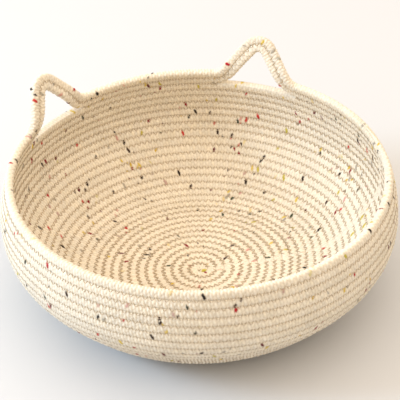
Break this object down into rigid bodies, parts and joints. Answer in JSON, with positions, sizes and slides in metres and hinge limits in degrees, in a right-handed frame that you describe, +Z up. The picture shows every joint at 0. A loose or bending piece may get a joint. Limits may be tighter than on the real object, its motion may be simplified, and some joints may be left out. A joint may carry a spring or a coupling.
{
  "type": "pet bed basket",
  "caption": "Round bowl-shaped pet basket of coiled cotton rope sewn edge to edge, with a flat base, an in-curved wall and looped cat ears standing on the rim.",
  "frame": {"origin": "on the floor under the centre of the flat base", "axes": "+Z up out of the mouth, +Y to the back between the ears, +X to the right when looking from the front"},
  "size_m": [0.3999, 0.4, 0.1736],
  "materials": {
    "rope": "braided natural cotton",
    "rim_rope": "braided natural cotton",
    "thread": "twisted cotton sewing thread"
  },
  "bodies": {
    "basket": {"base_coil": "rope", "wall_course_01": "rope", "wall_course_02": "rope", "wall_course_03": "rope", "wall_course_04": "rope", "wall_course_05": "rope", "wall_course_06": "rope", "wall_course_07": "rope", "wall_course_08": "rope", "wall_course_09": "rope", "wall_course_10": "rope", "wall_course_11": "rope", "wall_course_12": "rope", "wall_course_13": "rope", "wall_course_14": "rope", "wall_course_15": "rope", "wall_course_16": "rope", "wall_course_17": "rope", "wall_course_18": "rope", "rim_lower_front": "rim_rope", "rim_lower_back": "rim_rope", "rim_upper_front": "rim_rope", "rim_upper_back": "rim_rope", "base_stitching": "thread", "wall_stitching": "thread", "rim_stitching": "thread"},
    "ear_left": {"ear_left_lower": "rim_rope", "ear_left_upper": "rim_rope", "ear_left_stitching": "thread"},
    "ear_right": {"ear_right_lower": "rim_rope", "ear_right_upper": "rim_rope", "ear_right_stitching": "thread"}
  },
  "joints": [
    {"name": "ear_left_flex", "type": "hinge", "parent": "basket", "child": "ear_left", "pos_m": [-0.11082, 0.14706, 0.12598], "axis": [-0.7986, -0.6018, 0], "range_deg": [-45, 30], "stiffness_Nm_per_rad": 0.06},
    {"name": "ear_right_flex", "type": "hinge", "parent": "basket", "child": "ear_right", "pos_m": [0.11082, 0.14706, 0.12598], "axis": [-0.7986, 0.6018, 0], "range_deg": [-45, 30], "stiffness_Nm_per_rad": 0.06}
  ]
}
